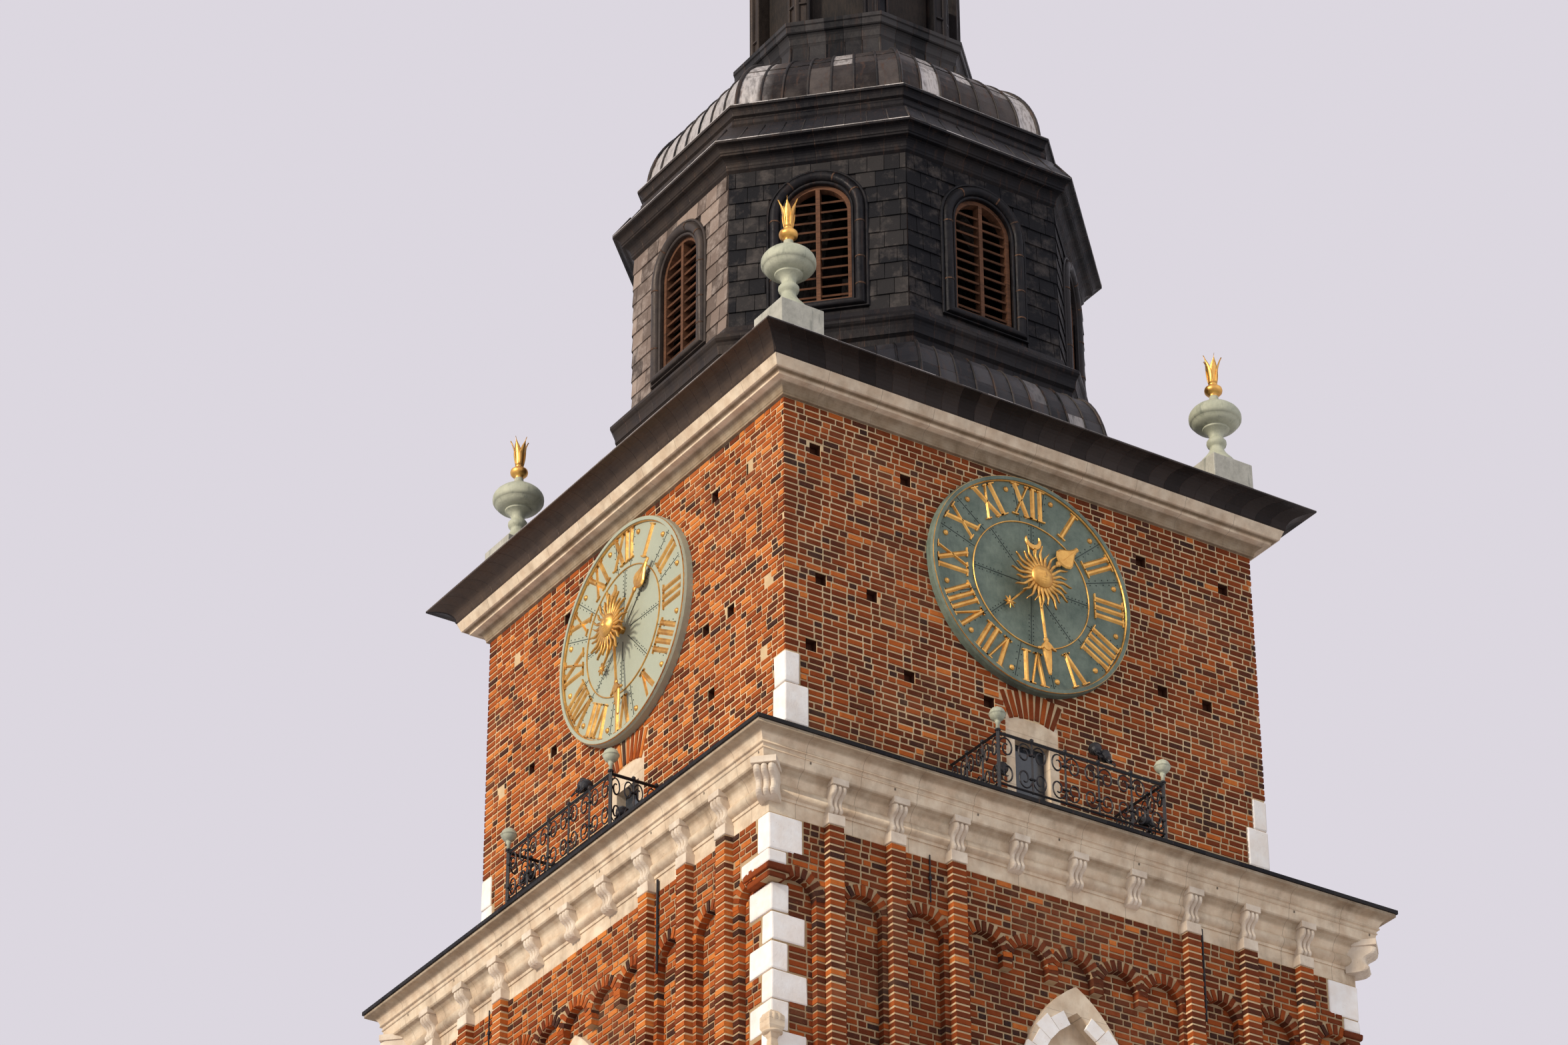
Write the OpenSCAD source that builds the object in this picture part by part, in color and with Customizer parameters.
// Clock tower as a model at one to ten: one millimetre here is one centimetre of the tower.
// The origin is the centre of its foot, +Z is up and the side with the front door faces -Y.

/* [Shaft] */
// Width of the lower shaft over its brick faces
shaft_w = 1049; // [1000:1:1100]
// Thickness of the shaft's walls
shaft_wall = 205; // [150:1:240]
// Height of the ground storey, up to the first string course
ground_h = 900; // [800:1:1000]
// Height of each of the two middle storeys
middle_h = 830; // [700:1:900]
// Height of the arcaded storey, from the third string course to the frieze
arcade_h = 773; // [740:1:850]
// Height of the stone plinth
plinth_h = 160; // [80:1:250]
// How far the plinth stands out
plinth_out = 28; // [10:1:40]
// Height of a string course
string_h = 28; // [16:1:40]
// How far a string course stands out
string_out = 14; // [6:1:20]
// Width of the stone quoins on the shaft's corners
quoin_w = 45; // [30:1:60]
// Thickness of a floor
floor_t = 20; // [12:1:30]

/* [Arcade] */
// Distance between the consoles under the lower cornice
console_pitch = 105; // [98:1:112]
// Width of a console and of the pilaster strip below it
console_w = 24; // [18:1:30]
// How far a pilaster strip stands out
strip_out = 14; // [8:1:18]
// Height of the stone cap on a pilaster strip
strip_cap_h = 17; // [10:1:24]
// How far that cap stands out past its strip
strip_cap_out = 2; // [1:0.5:4]
// Depth of the blind panels between the strips
panel_depth = 12; // [6:1:20]
// From the frieze down to the corbelled brick cap over each of its corners
corner_cap_drop = 102; // [80:1:140]
// Width of one blind arch
blind_arch_w = 64; // [50:1:70]
// Distance from the frieze down to the crown of the blind arches
blind_arch_drop = 91; // [60:1:120]
// Depth from the crowns of the middle arches to the corbels that carry them
corbel_drop = 47; // [40:1:80]

/* [Windows and front door] */
// Width of a shaft window's opening
window_w = 90; // [60:1:110]
// Height of a shaft window from its sill to the springing of its arch
window_h = 312; // [250:1:340]
// Height of a window's sill above its storey's floor line
window_sill = 160; // [120:1:200]
// Width of the stone band round a window and round the front door
band_w = 50; // [30:1:60]
// Width of the first, outer step of that band
band_step_w = 26; // [12:1:28]
// Depth of that first step
band_step_d = 24; // [12:1:40]
// Depth of the stone band
band_d = 60; // [45:1:100]
// Thickness of the glazing
glass_t = 6; // [5:1:12]
// Width of the front doorway
portal_w = 150; // [110:1:180]
// Height of the front doorway up to the springing of its arch
portal_h = 230; // [180:1:300]
// Thickness of the front door's leaf
door_t = 12; // [8:1:20]

/* [Pinnacles] */
// Width of a corner pinnacle's shaft
pinnacle_w = 50; // [36:1:60]
// Height of a pinnacle's foot above the third string course
pinnacle_foot = 60; // [40:1:120]
// Height of a pinnacle from its corbel to the tip of its bud
pinnacle_h = 410; // [300:1:450]

/* [Lower cornice] */
// Height of the stone cornice with its frieze
cornice_h = 114; // [100:1:130]
// How far the stone cornice stands out
cornice_out = 48; // [40:1:60]
// How far a console stands out from the frieze
console_reach = 27; // [20:1:32]
// Thickness of the metal capping at its edge
capping_t = 6; // [4:1:10]
// Rise of the capping up to the wall
capping_rise = 13; // [6:1:20]
// How far the capping's edge reaches past the stone
capping_out = 3; // [1:1:6]

/* [Clock storey] */
// How far the clock storey stands back behind the shaft's faces
clock_setback = 84.5; // [75:0.5:95]
// Thickness of the clock storey's walls
clock_wall = 100; // [80:1:130]
// Height of the clock storey's brick walls
clock_h = 653; // [620:1:700]
// Width of the stone quoins at the feet of its corners
foot_quoin_w = 40; // [30:1:60]
// Height of those quoins
foot_quoin_h = 213; // [150:1:260]
// Side of a putlog hole
putlog_w = 20; // [10:1:24]
// Depth of a putlog hole
putlog_d = 14; // [8:1:40]
// Height of the lowest row of putlog holes above the storey's foot
putlog_low = 225; // [215:1:240]
// Height of the middle row above the lowest
putlog_middle = 118; // [110:1:130]
// Height of the top row above the lowest
putlog_high = 342; // [330:1:360]

/* [Balconies] */
// Width of a balcony door's opening
door_w = 64; // [50:1:72]
// Height of a balcony door's opening above the capping
door_h = 168; // [150:1:180]
// Width of the stone jambs beside a balcony door
jamb_w = 16; // [10:1:22]
// Height of the stone lintel over a balcony door
lintel_h = 37; // [20:1:44]
// Depth of the stone frame round a balcony door
door_frame_d = 16; // [10:1:30]
// Thickness of a balcony door
balcony_door_t = 6; // [5:1:10]
// Distance between the middles of a balcony's two corner posts
balcony_w = 300; // [240:1:340]
// Distance from the clock storey's face to the middle of the posts
balcony_out = 120; // [100:1:124]
// Height of a railing's top rail above the capping
rail_h = 102; // [85:1:125]
// Thickness of the posts, rails and bars
bar_t = 4; // [3:0.5:5]
// Number of bays in a balcony's front
bays = 5; // [3:1:7]
// Diameter of a post's ball
ball_d = 26; // [18:1:32]
// Height of the neck that carries a ball
ball_neck = 15; // [8:1:20]

/* [Dials and hands] */
// Diameter of a dial over its rim
dial_d = 372; // [340:1:376]
// Distance from the brick's top edge down to the dial's centre
dial_drop = 196; // [192:1:200]
// Thickness of a dial's plate
dial_t = 12; // [8:1:16]
// Width of a dial's rim
rim_w = 8; // [5:1:12]
// How far the rim stands off the plate
rim_out = 6; // [3:1:7]
// Distance from the dial's plate to the back of the hour hand
hour_gap = 8; // [7:0.5:10]
// Distance from the hour hand to the back of the minute hand
minute_gap = 6; // [5:0.5:8]
// Distance from the minute hand to the back of the gilt sun
sun_gap = 6; // [5:0.5:8]
// Thickness of a hand
hand_t = 3; // [2:0.5:4]
// Width of a hand's stem
stem_w = 4; // [3:0.5:5]
// Radius of the minute hand's hub
minute_hub_r = 9; // [8:0.5:11]
// Radius of the hour hand's hub
hour_hub_r = 11; // [9:0.5:12]
// Thickness of the gilt sun's rays
sun_t = 4; // [3:0.5:6]
// Radius of the fixed spindle that carries the sun
spindle_r = 3; // [2.5:0.5:3.5]
// Running clearance between the spindle and the tubes of the hands
run_gap = 0.05; // [0.02:0.01:0.1]
// Wall thickness of the hands' tubes
tube_wall = 1.5; // [1:0.1:2]
// Length of the minute hand from its axis
minute_len = 162; // [130:1:166]
// Distance from the axis to the middle of the minute hand's crescent
crescent_r = 68; // [60:1:76]
// Length of the hour hand from its axis
hour_len = 122; // [90:1:128]
// Distance from the axis to the middle of the hour hand's star
star_r = 68; // [60:1:80]
// Radius of the sun's face
sun_face_r = 20; // [15:1:24]
// Radius of the sun over its rays
sun_r = 56; // [44:1:60]
// Width of a ray at its root
ray_w = 5.6; // [4:0.1:6]
// Minutes past one that the hands show
shown_minutes = 29; // [0:1:59]

/* [Top cornice and gutter] */
// Height of the stone cornice under the gutter
top_cornice_h = 42; // [34:1:50]
// How far that cornice stands out
top_cornice_out = 42; // [34:1:50]
// Height of the metal gutter
gutter_h = 31; // [24:1:40]
// How far the gutter stands out past the stone
gutter_out = 38; // [28:1:46]
// Distance of an urn's axis in from the gutter's edges
urn_inset = 108; // [100:1:112]
// Width of an urn's pedestal
pedestal_w = 78; // [66:1:84]
// Height of an urn's pedestal
pedestal_h = 99; // [80:1:110]
// Height of an urn, without its gilt crown
urn_h = 138; // [120:1:150]
// Radius of an urn's bowl
urn_r = 43; // [36:1:46]
// Height of the gilt crown with its knob
crown_h = 76; // [60:1:90]
// Radius of the gilt knob
knob_r = 15; // [12:1:17]

/* [Drum] */
// How far the drum's faces stand back behind the clock storey's
drum_inset = 87; // [80:1:100]
// Thickness of the drum's walls
drum_wall = 25; // [20:1:35]
// Height of the drum's walls
drum_h = 302; // [285:1:340]
// Height of the rounded skirt roof below the drum
skirt_h = 162; // [130:1:190]
// How far the skirt roof's foot stands out past its top
skirt_out = 60; // [40:1:64]
// Height of the moulding at the drum's foot
base_h = 81; // [60:1:100]
// How far that moulding stands out past the drum
base_out = 34; // [22:1:40]
// Width of a drum window
louvre_w = 111; // [90:1:124]
// Height of a drum window from its sill to the springing of its arch
louvre_h = 173; // [150:1:180]
// Height of a drum window's sill above the drum's foot
louvre_sill = 31; // [22:1:36]
// Width of the lead roll round a drum window
roll_w = 28; // [16:1:30]
// How far that roll stands out
roll_out = 12; // [6:1:16]
// Height of the moulding under a drum window
roll_foot = 19; // [10:1:20]
// Number of slats in each leaf of a louvre
slats = 12; // [8:1:14]
// Slope of a slat, down towards the outside
slat_slope = 34; // [20:1:40]
// Thickness of a slat
slat_t = 3; // [2:0.5:4]
// Width of the wooden frame and mullion of a louvre
louvre_bar = 7; // [5:1:9]

/* [Helm] */
// Height of the cornice on the drum
drum_cornice_h = 45; // [36:1:56]
// How far that cornice stands out past the drum
drum_cornice_out = 35; // [26:1:42]
// Height of the small roof above it
eaves_h = 49; // [36:1:60]
// Height of the second cornice, at the foot of the bulb
bulb_cornice_h = 49; // [36:1:60]
// How far the bulb's foot stands back behind the drum's faces
bulb_inset = 20; // [16:1:26]
// Height of the bulb
bulb_h = 148; // [120:1:170]
// How far the bulb draws in up to the neck
bulb_in = 117; // [100:1:130]
// Height of the neck
neck_h = 76; // [60:1:100]
// How far the neck draws in up to the lantern's cornice
neck_in = 31; // [20:1:40]
// Thickness of the roof's shell
shell_t = 14; // [10:1:20]

/* [Lantern] */
// How far the lantern's faces stand back behind the top of the neck
lantern_inset = 17; // [12:1:22]
// Height of the cornice under the lantern
lantern_base_h = 46; // [36:1:56]
// How far that cornice stands out past the neck
lantern_base_out = 14; // [10:1:24]
// Height of the lantern's posts
post_h = 320; // [280:1:360]
// Width of a post on each of the two faces that it turns round
lantern_post_w = 23.6; // [20:0.2:28]
// Thickness of the lantern's posts and arches
lantern_wall = 26; // [20:1:32]
// Height of the boarded parapet in the lantern's openings
parapet_h = 170; // [120:1:220]
// Thickness of its boards
parapet_t = 6; // [4:1:10]
// Height of the band that the lantern's arches are cut into
arch_band_h = 109; // [90:1:130]
// Height of the lantern's cornice
lantern_cornice_h = 40; // [30:1:50]
// How far the lantern's cornice stands out
lantern_cornice_out = 30; // [20:1:36]

/* [Cupola and spire] */
// How far the cupola swells out past the lantern's faces
cupola_out = 18; // [12:1:24]
// Height of the cupola
cupola_h = 200; // [170:1:240]
// Distance from the axis to the faces of the cupola's neck
cupola_neck_a = 46; // [38:1:60]
// Height of the moulded neck between the cupola and the spire
spire_foot_h = 60; // [50:1:80]
// Height of the spire
spire_h = 745; // [600:1:800]
// Distance from the axis to the spire's faces at its tip
spire_tip_a = 8; // [7:1:12]
// Radius of the gilt ball
ball_r = 30; // [24:1:36]
// Height of the gilt rod above the middle of the ball
rod_h = 368; // [300:1:400]
// Radius of the gilt rod
rod_r = 4; // [3:0.5:5]

/* [Hidden] */
$fn = 48;
// A length that reaches past everything it cuts
far = 3000;
// How far a cut runs past the face that it opens
over = 1;

// Half widths and levels that several pieces share
shaft_half = shaft_w / 2;
shaft_room = shaft_half - shaft_wall;
clock_half = shaft_half - clock_setback;
clock_room = clock_half - clock_wall;
storey_1 = ground_h;
storey_2 = storey_1 + middle_h;
storey_3 = storey_2 + middle_h;
frieze_z = storey_3 + arcade_h;
clock_z = frieze_z + cornice_h;
capping_top = clock_z + capping_t + capping_rise;
deck_z = clock_z + capping_t;
brick_top = clock_z + clock_h;
dial_z = brick_top - dial_drop;
gutter_z = brick_top + top_cornice_h;
roof_z = gutter_z + gutter_h;
door_top = capping_top + door_h;
lintel_top = door_top + lintel_h;
// Underside of the lower cornice's corona, where the consoles end, as a share of its height
corona_share = 0.6;
corona_z = frieze_z + corona_share * cornice_h;
gutter_half = clock_half + top_cornice_out + gutter_out;
urn_place = gutter_half - urn_inset;
// Half the width of an eight sided piece's face, for each unit from the axis to that face
octagon = tan(22.5);
// Distances from the axis to the faces of the eight sided pieces, from the drum up
drum_a = clock_half - drum_inset;
bulb_a = drum_a - bulb_inset;
neck_foot_a = bulb_a - bulb_in;
neck_top_a = neck_foot_a - neck_in;
lantern_a = neck_top_a - lantern_inset;
lantern_arch_w = 2 * (lantern_a * octagon - lantern_post_w);
cupola_a = lantern_a + cupola_out;
// Where the skirt roof ends below the drum's base, as a share of that moulding's reach
skirt_share = 0.56;
drum_room = drum_a - drum_wall;
skirt_top_a = drum_a + skirt_share * base_out;
base_z = roof_z + skirt_h;
drum_z = base_z + base_h;
drum_top = drum_z + drum_h;
eaves_z = drum_top + drum_cornice_h;
bulb_cornice_z = eaves_z + eaves_h;
bulb_z = bulb_cornice_z + bulb_cornice_h;
neck_z = bulb_z + bulb_h;
lantern_base_z = neck_z + neck_h;
lantern_z = lantern_base_z + lantern_base_h;
arch_z = lantern_z + post_h;
arch_top = arch_z + arch_band_h;
cupola_z = arch_top + lantern_cornice_h;
spire_foot_z = cupola_z + cupola_h;
spire_z = spire_foot_z + spire_foot_h;
spire_top = spire_z + spire_h;
ball_z = spire_top + ball_r * 0.9;

// Where the hands turn, counted out from the clock storey's brick face
hour_back = dial_t + hour_gap;
minute_back = hour_back + hand_t + minute_gap;
sun_back = minute_back + hand_t + sun_gap;
minute_bore = spindle_r + run_gap;
minute_tube = minute_bore + tube_wall;
hour_bore = minute_tube + run_gap;
hour_tube = hour_bore + tube_wall;
// Depth of the solid back of the plate, which holds the spindle
plate_back = 4;
// Angles of the hands, clockwise from twelve
minute_angle = shown_minutes * 6;
hour_angle = 30 + shown_minutes / 2;

// Numbers of the console lines that have a pilaster strip below, to each side of the middle
strip_lines = [-4, -3, -2, 2, 3, 4];
console_lines = [-4, -3, -2, -1, 0, 1, 2, 3, 4];

// Points along an arc of an ellipse
function arc(cx, cz, rx, rz, from, to, steps = 6) =
    [for (i = [0:steps]) let (a = from + (to - from) * i / steps) [cx + rx * cos(a), cz + rz * sin(a)]];

// A moulding drawn in a unit square, set at a face and given its reach and height
function moulding(unit, face, reach, z, h) = [for (p = unit) [face + reach * p[0], z + h * p[1]]];

// The outline of a console from its foot to its top, standing out from the frieze by reach
function console_outline(face, reach, z, h) = moulding(concat(
    [[-1, 0]],
    arc(0.18, 0.12, 0.2, 0.12, -90, 50, 5),
    [[0.3, 0.42]],
    arc(0.62, 0.66, 0.3, 0.2, -60, 60, 5),
    [[0.8, 0.88], [1, 0.9], [1, 1], [-1, 1]]
), face, reach, z, h);

lower_cornice_line = moulding(concat(
    [[0, 0], [0, 0.2]],
    arc(0.45, 0.2, 0.41, 0.38, 180, 90),
    [[0.49, corona_share], [0.56, 0.78], [0.6, 0.8]],
    arc(0.95, 0.8, 0.34, 0.15, 180, 90),
    [[1, 0.96], [1, 1]]
), shaft_half, cornice_out, frieze_z, cornice_h);

top_cornice_line = moulding(concat(
    [[0, 0], [0.14, 0], [0.14, 0.08]],
    arc(0.52, 0.1, 0.36, 0.32, 180, 90),
    [[0.62, 0.44], [0.62, 0.52]],
    [[0.81, 0.6], [0.86, 0.62], [1, 1]]
), clock_half, top_cornice_out, brick_top, top_cornice_h);

gutter_line = moulding(concat(
    [[0, 0], [0.04, 0.06]],
    arc(0.93, 0.08, 0.88, 0.82, 180, 90, 8),
    [[1, 0.9], [1, 1]]
), clock_half + top_cornice_out, gutter_out, gutter_z, gutter_h);

skirt_line = arc(skirt_top_a, roof_z, skirt_out, skirt_h, 0, 90, 8);

drum_base_line = moulding(concat(
    [[skirt_share, 0], [0.6, 0.18], [0.74, 0.24]],
    arc(0.98, 0.24, 0.22, 0.28, 180, 100, 4),
    [[1, 0.56], [1, 0.62], [0.3, 0.88], [0.22, 1]]
), drum_a, base_out, base_z, base_h);

drum_cornice_line = concat(moulding(concat(
    [[0, 0], [0.14, 0.1], [0.14, 0.2]],
    arc(0.5, 0.22, 0.34, 0.3, 180, 90, 5),
    [[0.58, 0.54], [0.58, 0.62]],
    arc(0.92, 0.64, 0.3, 0.24, 180, 90, 5),
    [[1, 0.9], [1, 1]]
), drum_a, drum_cornice_out, drum_top, drum_cornice_h), [[drum_a, eaves_z + eaves_h]]);

bulb_cornice_line = moulding(concat(
    [[0.3, 0], [0.3, 0.1]],
    arc(0.5, 0.3, 0.28, 0.2, -90, 90, 5),
    [[0.5, 0.56], [0.62, 0.6]],
    arc(0.98, 0.62, 0.3, 0.26, 180, 90, 5),
    [[1, 0.9], [1, 1]]
), bulb_a - 6, drum_a - bulb_a + 3, bulb_cornice_z, bulb_cornice_h);

bulb_line = arc(neck_foot_a, bulb_z, bulb_a - neck_foot_a, bulb_h, 0, 90, 10);
neck_line = arc(neck_foot_a, lantern_base_z, neck_foot_a - neck_top_a, neck_h, 270, 180, 6);

lantern_base_line = moulding(concat(
    [[0, 0], [0.14, 0.1]],
    arc(0.74, 0.12, 0.56, 0.4, 180, 90, 5),
    [[0.86, 0.56], [0.86, 0.8], [1, 0.84], [1, 1]]
), neck_top_a, lantern_base_out, lantern_base_z, lantern_base_h);

lantern_roof_line = concat(
    moulding(concat(
        [[0, 0], [0.1, 0.2]],
        arc(0.8, 0.24, 0.66, 0.5, 180, 90, 5),
        [[1, 0.8], [1, 1], [0.7, 1]]
    ), lantern_a, lantern_cornice_out, arch_top, lantern_cornice_h),
    arc(cupola_neck_a + 34, cupola_z + cupola_h * 0.22, cupola_a - cupola_neck_a - 34,
        cupola_h * 0.44, -28, 90, 10),
    arc(cupola_neck_a + 34, spire_foot_z, 34, cupola_h * 0.34, 270, 180, 6)
);

// The moulded neck below the spire, then the spire's taper
spire_line = [
    [cupola_neck_a, spire_foot_z],
    [cupola_neck_a + 14, spire_foot_z + spire_foot_h * 0.2],
    [cupola_neck_a + 14, spire_foot_z + spire_foot_h * 0.34],
    [cupola_neck_a, spire_foot_z + spire_foot_h * 0.5],
    [cupola_neck_a - 2, spire_foot_z + spire_foot_h * 0.8],
    [cupola_neck_a + 2, spire_z],
    [spire_tip_a, spire_top]
];

// What is as wide as a line of half widths, all round a plan with this many sides
module turned(line, sides = 4) {
    mirrored = [for (i = [len(line) - 1:-1:0]) [-line[i][0], line[i][1]]];
    intersection_for (k = [0:sides / 2 - 1])
        rotate([90, 0, k * 360 / sides])
            linear_extrude(far, center = true)
                polygon(concat(line, mirrored));
}

// The same, hollow to a straight inner face
module turned_ring(line, room, sides = 4) {
    bottom = line[0][1];
    top = line[len(line) - 1][1];
    difference() {
        turned(line, sides);
        turned([[room, bottom - over], [room, top + over]], sides);
    }
}

// A straight block between two corners
module block(from, to) {
    translate(from)
        cube(to - from);
}

// What one side of the tower has, on all four sides
module four_sides() {
    for (k = [0:3])
        rotate(90 * k)
            children();
}

// What one face of the drum has, on all eight faces
module eight_sides() {
    for (k = [0:7])
        rotate(45 * k)
            children();
}

// An outline in the plane of the front side, given a depth back from the distance out
module on_front(out, depth) {
    translate([0, -out + depth, 0])
        rotate([90, 0, 0])
            linear_extrude(depth)
                children();
}

// An opening with a pointed arch, its jambs half apart
module pointed(half, sill, spring) {
    translate([-half, sill])
        square([2 * half, spring - sill]);
    intersection() {
        translate([half, spring])
            circle(2 * half);
        translate([-half, spring])
            circle(2 * half);
        translate([-half, spring])
            square([2 * half, 2 * half]);
    }
}

// An opening with a round arch
module round_headed(half, sill, spring) {
    translate([-half, sill])
        square([2 * half, spring - sill]);
    translate([0, spring])
        circle(half);
}

module plinth() color("#cbbfa6") {
    top = plinth_h;
    chamfer = plinth_out * 0.7;
    difference() {
        turned_ring([
            [shaft_half + plinth_out, 0],
            [shaft_half + plinth_out, top - chamfer],
            [shaft_half + plinth_out - chamfer, top]
        ], shaft_half);
        block([-portal_w / 2 - band_w, -far, -over], [portal_w / 2 + band_w, 0, top + over]);
    }
}

module floors() color("#8a7a63") {
    // The ground floor, three floors in the shaft, the clock room's floor and the drum's
    for (z = [floor_t, storey_1, storey_2, storey_3, clock_z])
        block([-shaft_room, -shaft_room, z - floor_t], [shaft_room, shaft_room, z]);
    // The front doorway's threshold, one slab with the ground floor
    block([-portal_w / 2, -shaft_half, 0], [portal_w / 2, -shaft_room + over, floor_t]);
    block([-clock_room, -clock_room, gutter_z - floor_t], [clock_room, clock_room, gutter_z]);
}

// The panel beside each corner, half under its arch and half under the corner's brick cap
module corner_panels() {
    spring = frieze_z - blind_arch_drop - blind_arch_w / 2;
    foot = storey_3 + string_h;
    middle = (4 * console_pitch + console_w / 2 + shaft_half) / 2;
    reach = shaft_half + over - middle;
    for (side = [-1, 1]) {
        translate([side * middle, 0])
            round_headed(blind_arch_w / 2, foot, spring);
        translate([side * (middle + reach / 2) - reach / 2, foot])
            square([reach, frieze_z - corner_cap_drop - foot]);
    }
}

// The blind panels that the arcaded storey's face is stepped back for
module arcade_panels() {
    crown = frieze_z - blind_arch_drop;
    spring = crown - blind_arch_w / 2;
    foot = storey_3 + string_h;
    strip_edge = 2 * console_pitch - console_w / 2;
    middle_half = strip_edge - 6;
    corner_panels();
    for (x = [2.5 * console_pitch, 3.5 * console_pitch], side = [-1, 1])
        translate([side * x, 0])
            round_headed(blind_arch_w / 2, foot, spring);
    translate([-middle_half, foot])
        square([2 * middle_half, crown - corbel_drop - foot]);
    step = (middle_half - blind_arch_w / 2) / 2;
    for (k = [-2:2])
        translate([k * step, 0])
            round_headed(blind_arch_w / 2, foot, spring);
}

module shaft_window_cuts() {
    for (z = [storey_1, storey_2, storey_3])
        let (sill = z + window_sill, spring = z + window_sill + window_h) {
            on_front(shaft_half + over, band_d + over)
                pointed(window_w / 2 + band_w, sill - band_w, spring);
            on_front(shaft_half, shaft_wall + over)
                pointed(window_w / 2, sill, spring);
        }
}

module shaft_face_cuts() {
    on_front(shaft_half + over, panel_depth + over)
        arcade_panels();
    shaft_window_cuts();
}

// A shaft wall that runs the tower's whole width, with its corners left for the quoins
module long_shaft_wall() {
    difference() {
        block([-shaft_half, -shaft_half, 0], [shaft_half, -shaft_room, frieze_z]);
        for (side = [-1, 1])
            translate([side * (shaft_half - quoin_w / 2), -shaft_half + quoin_w / 2, frieze_z / 2])
                cube([quoin_w, quoin_w, frieze_z + 2 * over], center = true);
        shaft_face_cuts();
        // The side faces' panels go on over the ends of this wall
        for (turn = [-90, 90])
            rotate(turn)
                on_front(shaft_half + over, panel_depth + over)
                    arcade_panels();
    }
}

module short_shaft_wall() {
    difference() {
        block([-shaft_room, -shaft_half, 0], [shaft_room, -shaft_room, frieze_z]);
        shaft_face_cuts();
    }
}

module shaft_front_wall() color("#a8552f") {
    difference() {
        long_shaft_wall();
        on_front(shaft_half + over, band_d + over)
            pointed(portal_w / 2 + band_w, -over, portal_h);
        on_front(shaft_half, shaft_wall + over)
            pointed(portal_w / 2, -over, portal_h);
    }
}

module shaft_back_wall() color("#a8552f") rotate(180) long_shaft_wall();
module shaft_left_wall() color("#b4602f") rotate(-90) short_shaft_wall();
module shaft_right_wall() color("#b4602f") rotate(90) short_shaft_wall();

module corner_quoins() color("#e2d9c4") {
    // Posts let into the shaft's corners, thinner where the panels go around them
    difference() {
        four_sides()
            block([-shaft_half, -shaft_half, 0], [quoin_w - shaft_half, quoin_w - shaft_half, frieze_z]);
        four_sides()
            on_front(shaft_half + over, panel_depth + over)
                corner_panels();
    }
    // The white feet of the clock storey's corners
    four_sides()
        block([-clock_half, -clock_half, clock_z],
              [foot_quoin_w - clock_half, foot_quoin_w - clock_half, clock_z + foot_quoin_h]);
}

module corner_pinnacles() color("#d8ccb2") {
    foot = storey_3 + pinnacle_foot;
    half = pinnacle_w / 2;
    wall_face = shaft_half - panel_depth;
    line = [
        [half * 0.3, foot], [half * 0.9, foot + pinnacle_h * 0.12],
        [half, foot + pinnacle_h * 0.14], [half, foot + pinnacle_h * 0.52],
        [half * 1.2, foot + pinnacle_h * 0.54], [half * 1.2, foot + pinnacle_h * 0.57],
        [half * 0.7, foot + pinnacle_h * 0.6], [half * 0.2, foot + pinnacle_h * 0.9],
        [half * 0.5, foot + pinnacle_h * 0.94], [half * 0.5, foot + pinnacle_h * 0.98],
        [half * 0.25, foot + pinnacle_h]
    ];
    difference() {
        four_sides()
            translate([-wall_face, -wall_face, 0])
                turned(line);
        block([-wall_face, -wall_face, -over], [wall_face, wall_face, frieze_z]);
    }
}

module string_courses() color("#d8ccb2") {
    for (z = [storey_1, storey_2, storey_3])
        turned_ring([
            [shaft_half + string_out * 0.3, z],
            [shaft_half + string_out, z + string_h * 0.3],
            [shaft_half + string_out, z + string_h]
        ], shaft_half);
}

module pilaster_strips() color("#a8552f") {
    four_sides()
        for (n = strip_lines)
            translate([n * console_pitch, 0, 0])
                block([-console_w / 2, -shaft_half - strip_out, storey_3 + string_h],
                      [console_w / 2, -shaft_half, frieze_z]);
}

// A stepped stone band, its outline wider than the opening by band_w
module stone_band(half, foot, sill, spring, out, step_d) {
    on_front(out, step_d)
        difference() {
            pointed(half + band_w, foot, spring);
            pointed(half + band_step_w, sill, spring);
        }
    on_front(out - step_d, out - step_d - (shaft_half - band_d))
        difference() {
            pointed(half + band_w, foot, spring);
            pointed(half, sill, spring);
        }
}

module window_surrounds() color("#e2d9c4") {
    four_sides()
        for (z = [storey_1, storey_2, storey_3])
            let (sill = z + window_sill)
                stone_band(window_w / 2, sill - band_w, sill, sill + window_h, shaft_half, band_step_d);
}

module window_glazing() color("#3b4650") {
    four_sides()
        for (z = [storey_1, storey_2, storey_3])
            let (sill = z + window_sill)
                on_front(shaft_half - band_d, glass_t)
                    pointed(window_w / 2, sill, sill + window_h);
}

module front_door_surround() color("#e2d9c4") {
    stone_band(portal_w / 2, 0, -over, portal_h, shaft_half + plinth_out, plinth_out);
}

module front_door() color("#5a3a22") {
    on_front(shaft_half - band_d, door_t)
        pointed(portal_w / 2, floor_t, portal_h);
}

module lower_cornice() color("#d8cab0") {
    turned_ring(lower_cornice_line, shaft_room);
}

// An outline in a plane across the front side, its first number the distance from the axis
module across_front(width) {
    rotate([90, 0, -90])
        linear_extrude(width, center = true)
            children();
}

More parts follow.
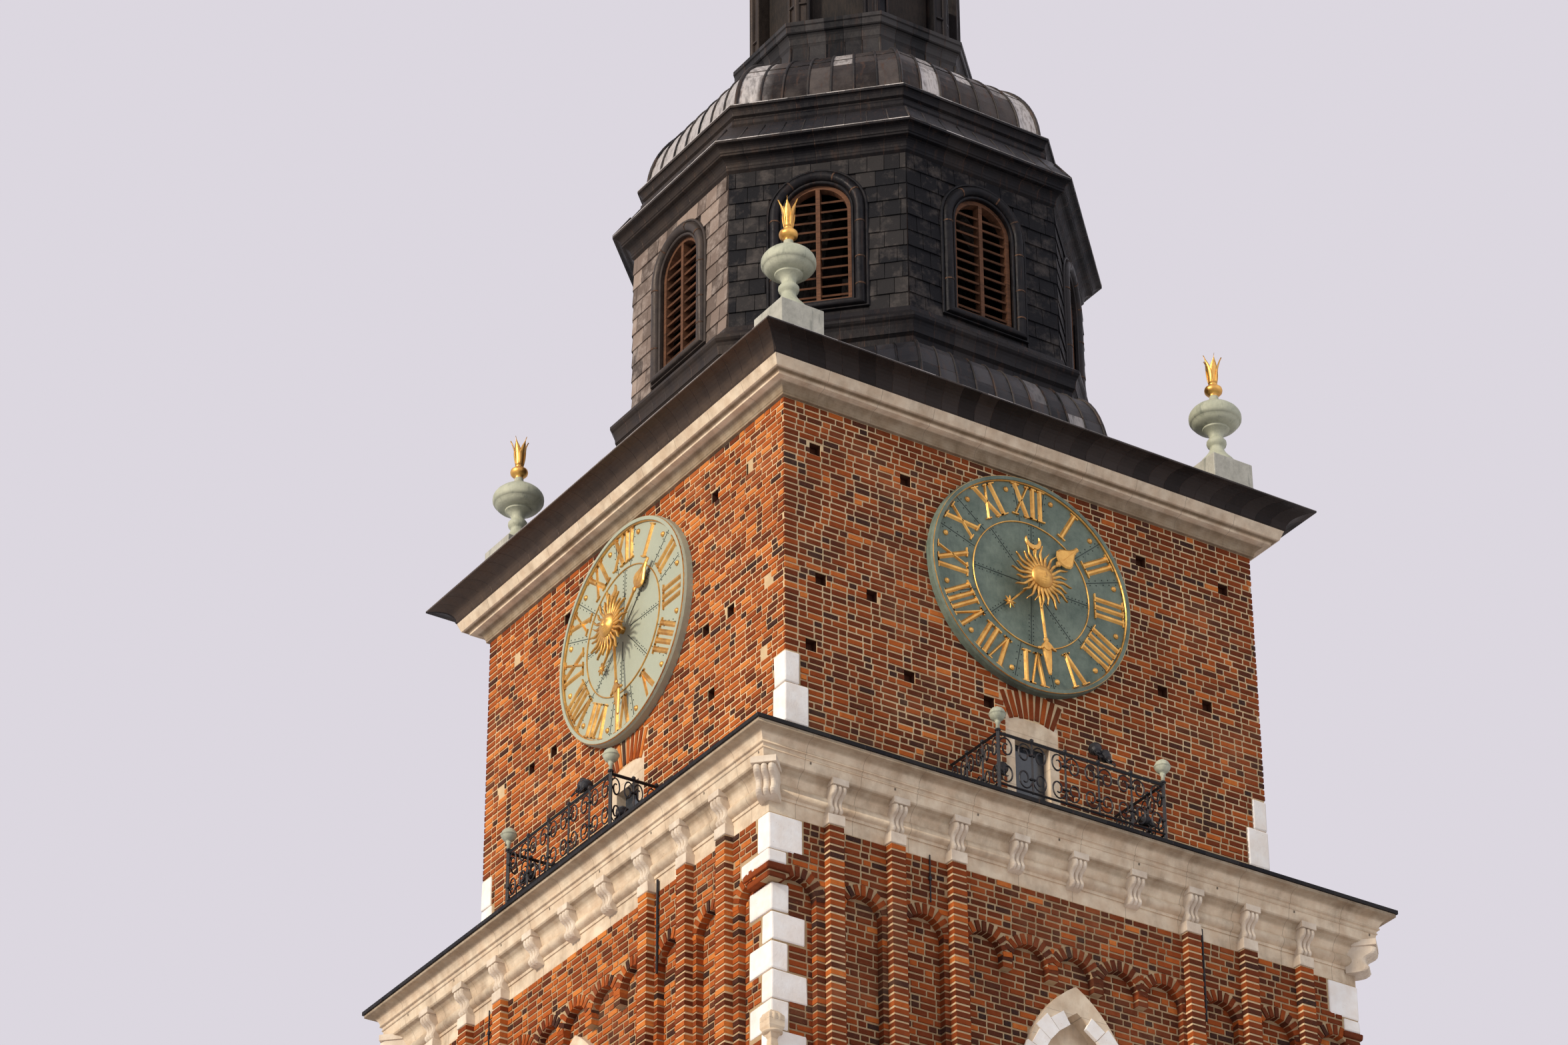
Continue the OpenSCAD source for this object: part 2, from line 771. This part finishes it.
module consoles() color("#d2c4a8") {
    foot = frieze_z + strip_cap_h;
    height = corona_z - foot;
    cap_half = console_w / 2 + strip_cap_out;
    four_sides() {
        for (n = console_lines)
            translate([n * console_pitch, 0, 0]) {
                across_front(console_w)
                    difference() {
                        polygon(console_outline(shaft_half, console_reach, foot, height));
                        polygon(concat([[0, frieze_z]], lower_cornice_line, [[0, clock_z]]));
                    }
                if (abs(n) > 1)
                    block([-cap_half, -shaft_half - strip_out - strip_cap_out, frieze_z],
                          [cap_half, -shaft_half, foot]);
            }
        difference() {
            rotate(-45)
                across_front(console_w)
                    polygon(console_outline(shaft_half * sqrt(2), console_reach * sqrt(2), foot, height));
            turned(lower_cornice_line);
        }
    }
}

module cornice_capping() color("#2b2c2f") {
    edge = shaft_half + cornice_out + capping_out;
    turned_ring([
        [edge, clock_z], [edge, deck_z],
        [clock_half + balcony_out - 2 * bar_t, deck_z],
        [clock_half - over, capping_top]
    ], clock_half);
}

// The putlog holes of one side, as places along it and rows
function putlogs(side) =
    side == "left"
    ? [[345, 2], [246, 2], [-193, 2], [-350, 2], [394, 1], [291, 1], [221, 1], [-227, 1], [-295, 1],
       [-389, 1], [383, 0], [237, 0]]
    : [[-385, 2], [-221, 2], [223, 2], [384, 2], [-377, 1], [-286, 1], [253, 1], [339, 1], [-395, 0],
       [-221, 0], [-77, 0]];
function putlog_z(row) = clock_z + putlog_low + [0, putlog_middle, putlog_high][row];

module clock_face_cuts(side) {
    on_front(clock_half + over, door_frame_d + over)
        translate([-door_w / 2 - jamb_w, clock_z - over])
            square([door_w + 2 * jamb_w, lintel_top - clock_z + over]);
    on_front(clock_half, clock_wall + over)
        translate([-door_w / 2, clock_z - over])
            square([door_w, door_top - clock_z + over]);
    for (hole = putlogs(side))
        on_front(clock_half + over, putlog_d + over)
            translate([hole[0] - putlog_w / 2, putlog_z(hole[1])])
                square(putlog_w);
}

module long_clock_wall(side) {
    difference() {
        block([-clock_half, -clock_half, clock_z], [clock_half, -clock_room, brick_top]);
        for (end = [-1, 1])
            translate([end * (clock_half - foot_quoin_w / 2), -clock_half + foot_quoin_w / 2, clock_z])
                cube([foot_quoin_w, foot_quoin_w, 2 * foot_quoin_h], center = true);
        clock_face_cuts(side);
    }
}

module short_clock_wall(side) {
    difference() {
        block([-clock_room, -clock_half, clock_z], [clock_room, -clock_room, brick_top]);
        clock_face_cuts(side);
    }
}

module clock_front_wall() color("#a8552f") long_clock_wall("front");
module clock_back_wall() color("#a8552f") rotate(180) long_clock_wall("back");
module clock_left_wall() color("#b4602f") rotate(-90) short_clock_wall("left");
module clock_right_wall() color("#b4602f") rotate(90) short_clock_wall("right");

module balcony_door_frames() color("#e2d9c4") {
    four_sides()
        on_front(clock_half, door_frame_d)
            difference() {
                translate([-door_w / 2 - jamb_w, clock_z])
                    square([door_w + 2 * jamb_w, lintel_top - clock_z]);
                translate([-door_w / 2, clock_z - over])
                    square([door_w, door_top - clock_z + over]);
            }
}

module balcony_doors() color("#2d3640") {
    four_sides()
        on_front(clock_half - door_frame_d, balcony_door_t)
            translate([-door_w / 2, clock_z])
                square([door_w, door_top - clock_z]);
}

module balcony_railings() color("#1d1d1f") {
    post = bar_t + 2;
    half = balcony_w / 2;
    line = clock_half + balcony_out;
    rail_top = capping_top + rail_h - capping_rise;
    foot_rail = capping_top + 2;
    four_sides() {
        // The front with its two posts and their balls
        for (side = [-1, 1])
            translate([side * half, -line, deck_z]) {
                translate([-post / 2, -post / 2, 0])
                    cube([post, post, rail_top - deck_z]);
                cylinder(h = rail_top - deck_z + ball_neck + ball_d / 2, r = post / 2);
                translate([0, 0, rail_top - deck_z + ball_neck + ball_d / 2])
                    sphere(ball_d / 2);
            }
        for (z = [foot_rail, rail_top - bar_t])
            block([-half, -line - bar_t / 2, z], [half, -line + bar_t / 2, z + bar_t]);
        for (k = [1:bays - 1])
            let (x = -half + k * balcony_w / bays)
                block([x - bar_t / 2, -line - bar_t / 2, foot_rail],
                      [x + bar_t / 2, -line + bar_t / 2, rail_top]);
        // The two sides, each between its post and the wall
        for (side = [-1, 1])
            translate([side * half, 0, 0]) {
                for (z = [foot_rail, rail_top - bar_t])
                    block([-bar_t / 2, -line + post / 2, z], [bar_t / 2, -clock_half, z + bar_t]);
                for (k = [1, 2])
                    let (y = -line + k * balcony_out / 3)
                        block([-bar_t / 2, y - bar_t / 2, foot_rail], [bar_t / 2, y + bar_t / 2, rail_top]);
            }
    }
}

// A round piece on a dial's axis, between two distances from the brick face
module on_dial_axis(from, to) {
    translate([0, -clock_half - from, dial_z])
        rotate([90, 0, 0])
            linear_extrude(to - from)
                children();
}

module dials() color("#6d7f76") {
    rim = dial_d / 2;
    socket = hour_tube + run_gap;
    four_sides()
        translate([0, -clock_half, dial_z])
            rotate([90, 0, 0])
                rotate_extrude($fn = 96)
                    polygon([
                        [spindle_r, 0], [rim, 0], [rim, dial_t], [rim - rim_w * 0.3, dial_t + rim_out],
                        [rim - rim_w, dial_t + rim_out], [rim - rim_w, dial_t],
                        [socket, dial_t], [socket, plate_back], [spindle_r, plate_back]
                    ]);
}

// The sun's rays, long and short in turn, out of a round hub
module sun_rays() {
    rays = 24;
    hub = sun_face_r + 4;
    circle(hub);
    for (k = [0:rays - 1])
        let (reach = k % 2 == 0 ? sun_r : sun_r * 0.86)
            rotate(k * 360 / rays)
                polygon([[hub / 2, -ray_w / 2], [hub, -ray_w / 2], [reach, -ray_w / 8],
                         [reach, ray_w / 8], [hub, ray_w / 2], [hub / 2, ray_w / 2]]);
}

module gilt_suns() color("#c98f2c") {
    four_sides() {
        on_dial_axis(0, sun_back + sun_t / 2)
            circle(spindle_r);
        on_dial_axis(sun_back, sun_back + sun_t)
            sun_rays();
        translate([0, -clock_half - sun_back - sun_t, dial_z])
            rotate([90, 0, 0])
                rotate_extrude()
                    polygon(concat(
                        [[0, -over], [sun_face_r, -over]],
                        arc(0, 0, sun_face_r, sun_face_r * 0.5, 0, 90, 8)
                    ));
    }
}

// The minute hand: a leaf with curled ears on a balled stem, and a crescent behind
module minute_blade() {
    crescent = 16;
    ball = 5;
    circle(minute_hub_r);
    translate([-stem_w / 2, 2 - crescent_r + crescent - stem_w])
        square([stem_w, crescent_r - crescent + minute_len * 0.7]);
    translate([0, minute_len * 0.63])
        circle(ball);
    polygon([
        [-4, minute_len * 0.66], [-15, minute_len * 0.7], [-12, minute_len * 0.73], [-8, minute_len * 0.74],
        [-2, minute_len], [2, minute_len],
        [8, minute_len * 0.74], [12, minute_len * 0.73], [15, minute_len * 0.7], [4, minute_len * 0.66]
    ]);
    translate([0, -crescent_r])
        difference() {
            circle(crescent);
            translate([0, -0.4 * crescent])
                circle(0.8 * crescent);
        }
}

// The hour hand: a spade on a balled stem, and a star behind
module hour_blade() {
    star = 10;
    ball = 6;
    circle(hour_hub_r);
    translate([-stem_w / 2, -star_r])
        square([stem_w, star_r + hour_len * 0.62]);
    translate([0, hour_len * 0.55])
        circle(ball);
    polygon(concat(
        [[-3, hour_len * 0.58]],
        arc(-8, hour_len * 0.7, 12, hour_len * 0.1, 250, 130, 5),
        [[-2, hour_len], [2, hour_len]],
        arc(8, hour_len * 0.7, 12, hour_len * 0.1, 50, -70, 5),
        [[3, hour_len * 0.58]]
    ));
    translate([0, -star_r])
        polygon([for (i = [0:15])
            let (r = i % 2 == 0 ? star : 0.45 * star, a = i * 22.5)
                [r * cos(a), r * sin(a)]]);
}

module minute_hand() color("#d39a35") {
    on_dial_axis(plate_back + 1, minute_back + hand_t)
        difference() {
            circle(minute_tube);
            circle(minute_bore);
        }
    on_dial_axis(minute_back, minute_back + hand_t)
        difference() {
            rotate(-minute_angle)
                minute_blade();
            circle(minute_bore);
        }
}

module hour_hand() color("#d39a35") {
    on_dial_axis(plate_back + 1, hour_back + hand_t)
        difference() {
            circle(hour_tube);
            circle(hour_bore);
        }
    on_dial_axis(hour_back, hour_back + hand_t)
        difference() {
            rotate(-hour_angle)
                hour_blade();
            circle(hour_bore);
        }
}

module top_cornice() color("#d8cab0") {
    turned_ring(top_cornice_line, clock_room);
}

module gutter() color("#26282c") {
    turned_ring(gutter_line, clock_room);
}

module urns() color("#a9b3a3") {
    bowl = [
        [0, 0], [0.62, 0], [0.6, 0.04], [0.4, 0.13], [0.3, 0.15], [0.37, 0.18], [0.38, 0.24],
        [0.27, 0.29], [0.25, 0.33], [0.4, 0.42], [0.46, 0.46], [0.8, 0.5], [0.97, 0.6], [1, 0.66],
        [0.98, 0.74], [0.9, 0.84], [0.7, 0.93], [0.35, 0.99], [0.3, 1], [0, 1]
    ];
    four_sides()
        translate([-urn_place, -urn_place, roof_z]) {
            translate([0, 0, pedestal_h / 2])
                cube([pedestal_w, pedestal_w, pedestal_h], center = true);
            translate([0, 0, pedestal_h])
                rotate_extrude()
                    polygon(moulding(bowl, 0, urn_r, 0, urn_h));
        }
}

module gilt_crowns() color("#d9a437") {
    leaves = 5;
    knob = [
        [0, 0], [0.4, 0], [0.5, 0.05], [0.9, 0.1], [1, 0.17], [0.9, 0.24], [0.5, 0.29], [0.4, 0.36],
        [0.45, 0.5], [0.9, 1], [0.8, 1], [0.3, 0.42], [0, 0.42]
    ];
    four_sides()
        translate([-urn_place, -urn_place, roof_z + pedestal_h + urn_h])
            difference() {
                rotate_extrude()
                    polygon(moulding(knob, 0, knob_r, 0, crown_h));
                // The gaps between the leaves
                for (k = [0:leaves - 1])
                    rotate(k * 360 / leaves)
                        translate([0, 0, crown_h + over])
                            rotate([90, 0, 90])
                                linear_extrude(2 * knob_r)
                                    polygon([[-5, 0], [5, 0], [1, -crown_h * 0.45], [-1, -crown_h * 0.45]]);
            }
}

module skirt_roof() color("#54575b") {
    turned_ring(skirt_line, drum_room, 8);
}

module drum_base() color("#2a2b2e") {
    turned_ring(drum_base_line, drum_room, 8);
}

// One wall of the drum, mitred at its ends, with its window cut through
module drum_panel() {
    sill = drum_z + louvre_sill;
    difference() {
        translate([0, 0, drum_z])
            linear_extrude(drum_h)
                polygon([
                    [-drum_a * octagon, -drum_a], [drum_a * octagon, -drum_a],
                    [drum_room * octagon, -drum_room], [-drum_room * octagon, -drum_room]
                ]);
        on_front(drum_a + over, drum_wall + 2 * over)
            round_headed(louvre_w / 2, sill, sill + louvre_h);
    }
}

module drum_square_walls() color("#3a3c40") {
    four_sides()
        drum_panel();
}

module drum_diagonal_walls() color("#3a3c40") {
    rotate(45)
        four_sides()
            drum_panel();
}

module drum_window_frames() color("#33363b") {
    sill = drum_z + louvre_sill;
    eight_sides()
        on_front(drum_a + roll_out, roll_out)
            difference() {
                round_headed(louvre_w / 2 + roll_w, sill - roll_foot, sill + louvre_h);
                round_headed(louvre_w / 2, sill, sill + louvre_h);
            }
}

module drum_louvres() color("#6b4426") {
    sill = drum_z + louvre_sill;
    half = louvre_w / 2;
    spring = sill + louvre_h;
    pitch = (louvre_h + half * 0.8) / slats;
    depth = drum_wall * 0.6;
    set_back = 3;
    slat_w = depth * 0.9;
    eight_sides() {
        on_front(drum_a - set_back, depth)
            difference() {
                round_headed(half, sill, spring);
                round_headed(half - louvre_bar, sill + louvre_bar, spring);
            }
        on_front(drum_a - set_back, depth)
            translate([-louvre_bar / 2, sill])
                square([louvre_bar, louvre_h + half - louvre_bar / 2]);
        for (k = [1:slats - 1])
            let (z = sill + k * pitch, rise = max(0, z - spring + slat_t),
                 reach = sqrt(pow(half, 2) - pow(rise, 2)) - louvre_bar * 0.5)
                translate([0, -drum_a + set_back + depth / 2, z])
                    rotate([slat_slope, 0, 0])
                        cube([2 * reach, slat_w, slat_t], center = true);
    }
}

module drum_cornice() color("#2f3135") {
    turned_ring(drum_cornice_line, drum_room, 8);
}

module bulb_cornice() color("#2f3135") {
    turned_ring(bulb_cornice_line, bulb_a - 2 * shell_t, 8);
}

module bulb_roof() color("#5b5752") {
    inside = arc(neck_foot_a - shell_t, bulb_z, bulb_a - neck_foot_a, bulb_h - shell_t, 0, 90, 10);
    difference() {
        turned(bulb_line, 8);
        turned(concat(
            [[bulb_a - shell_t, bulb_z - over]], inside, [[neck_foot_a - shell_t, neck_z + over]]
        ), 8);
    }
}

module lantern_base() color("#3a3b3e") {
    room = neck_top_a - shell_t;
    difference() {
        turned(concat(neck_line, lantern_base_line), 8);
        turned([[room, neck_z - over], [room, lantern_z - shell_t]], 8);
    }
}

module lantern_posts() color("#23252a") {
    difference() {
        turned_ring([[lantern_a, lantern_z], [lantern_a, arch_z]], lantern_a - lantern_wall, 8);
        eight_sides()
            block([-lantern_arch_w / 2, -far, lantern_z - over], [lantern_arch_w / 2, 0, arch_z + over]);
    }
}

module lantern_parapet() color("#3a2a1e") {
    face = lantern_a - lantern_wall;
    half = lantern_arch_w / 2;
    eight_sides()
        block([-half, -face - parapet_t, lantern_z], [half, -face, lantern_z + parapet_h]);
}

module lantern_arches() color("#23252a") {
    difference() {
        turned_ring([[lantern_a, arch_z], [lantern_a, arch_top]], lantern_a - lantern_wall, 8);
        eight_sides()
            on_front(lantern_a + over, lantern_a)
                translate([0, arch_z])
                    circle(lantern_arch_w / 2);
    }
}

module lantern_roof() color("#3a3b3e") {
    turned(lantern_roof_line, 8);
}

module spire() color("#3a3b3e") {
    turned(spire_line, 8);
}

module finial() color("#d9a437") {
    difference() {
        translate([0, 0, ball_z])
            sphere(ball_r);
        block([-ball_r, -ball_r, ball_z - 2 * ball_r], [ball_r, ball_r, spire_top]);
    }
    translate([0, 0, ball_z])
        cylinder(h = rod_h, r = rod_r);
    for (z = [0.45, 0.62])
        translate([0, 0, ball_z + rod_h * z])
            sphere(ball_r * 0.36);
}

plinth();
floors();
shaft_front_wall();
shaft_back_wall();
shaft_left_wall();
shaft_right_wall();
corner_quoins();
corner_pinnacles();
string_courses();
pilaster_strips();
window_surrounds();
window_glazing();
front_door_surround();
front_door();
lower_cornice();
consoles();
cornice_capping();
clock_front_wall();
clock_back_wall();
clock_left_wall();
clock_right_wall();
balcony_door_frames();
balcony_doors();
balcony_railings();
dials();
gilt_suns();
minute_hand();  // minute_hand_front
rotate(90) minute_hand();  // minute_hand_right
rotate(180) minute_hand();  // minute_hand_back
rotate(-90) minute_hand();  // minute_hand_left
hour_hand();  // hour_hand_front
rotate(90) hour_hand();  // hour_hand_right
rotate(180) hour_hand();  // hour_hand_back
rotate(-90) hour_hand();  // hour_hand_left
top_cornice();
gutter();
urns();
gilt_crowns();
skirt_roof();
drum_base();
drum_square_walls();
drum_diagonal_walls();
drum_window_frames();
drum_louvres();
drum_cornice();
bulb_cornice();
bulb_roof();
lantern_base();
lantern_posts();
lantern_arches();
lantern_parapet();
lantern_roof();
spire();
finial();
